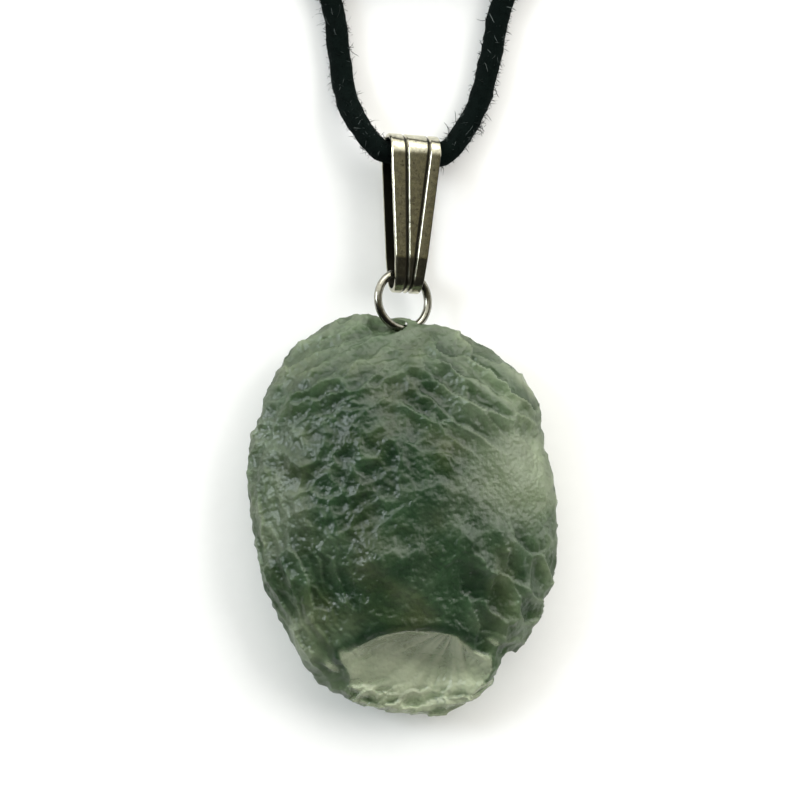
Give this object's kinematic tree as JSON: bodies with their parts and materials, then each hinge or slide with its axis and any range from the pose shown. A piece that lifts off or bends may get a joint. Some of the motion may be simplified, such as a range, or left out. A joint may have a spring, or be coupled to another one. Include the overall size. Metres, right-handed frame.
{
  "type": "moldavite pendant",
  "caption": "Raw moldavite pendant, etched green glass with a chipped lower edge, on a wire ring, a fluted silver bail and a tied black cord.",
  "frame": {"origin": "centre of the small flat spot under the stone, on the surface that it lies on", "axes": "+X to the pendant's right, +Y from the stone up to the bail, +Z out of the front face"},
  "size_m": [0.0342, 0.0984, 0.0095],
  "materials": {
    "moldavite_glass": "etched natural glass, translucent bottle green with a soft shine",
    "silver": "polished silver, slightly yellowed",
    "black_cord": "matt, slightly fuzzy",
    "tie_band": "matt"
  },
  "bodies": {
    "bail": {"bail": "silver", "cord": "black_cord", "cord_coil": "black_cord", "cord_knot": "black_cord", "coil_tie": "tie_band"},
    "ring": {"jump_ring": "silver"},
    "stone": {"stone": "moldavite_glass"}
  },
  "joints": [
    {"name": "ring_swing", "type": "hinge", "parent": "bail", "child": "ring", "pos_m": [0.00035, 0.02131, 0.00303], "axis": [-0.8613, 0.179, 0.4755], "range_deg": [0, 40]},
    {"name": "stone_swing", "type": "hinge", "parent": "ring", "child": "stone", "pos_m": [0.00022, 0.01638, 0.0037], "axis": [-0.866, 0, 0.5], "range_deg": [0, 45]}
  ]
}
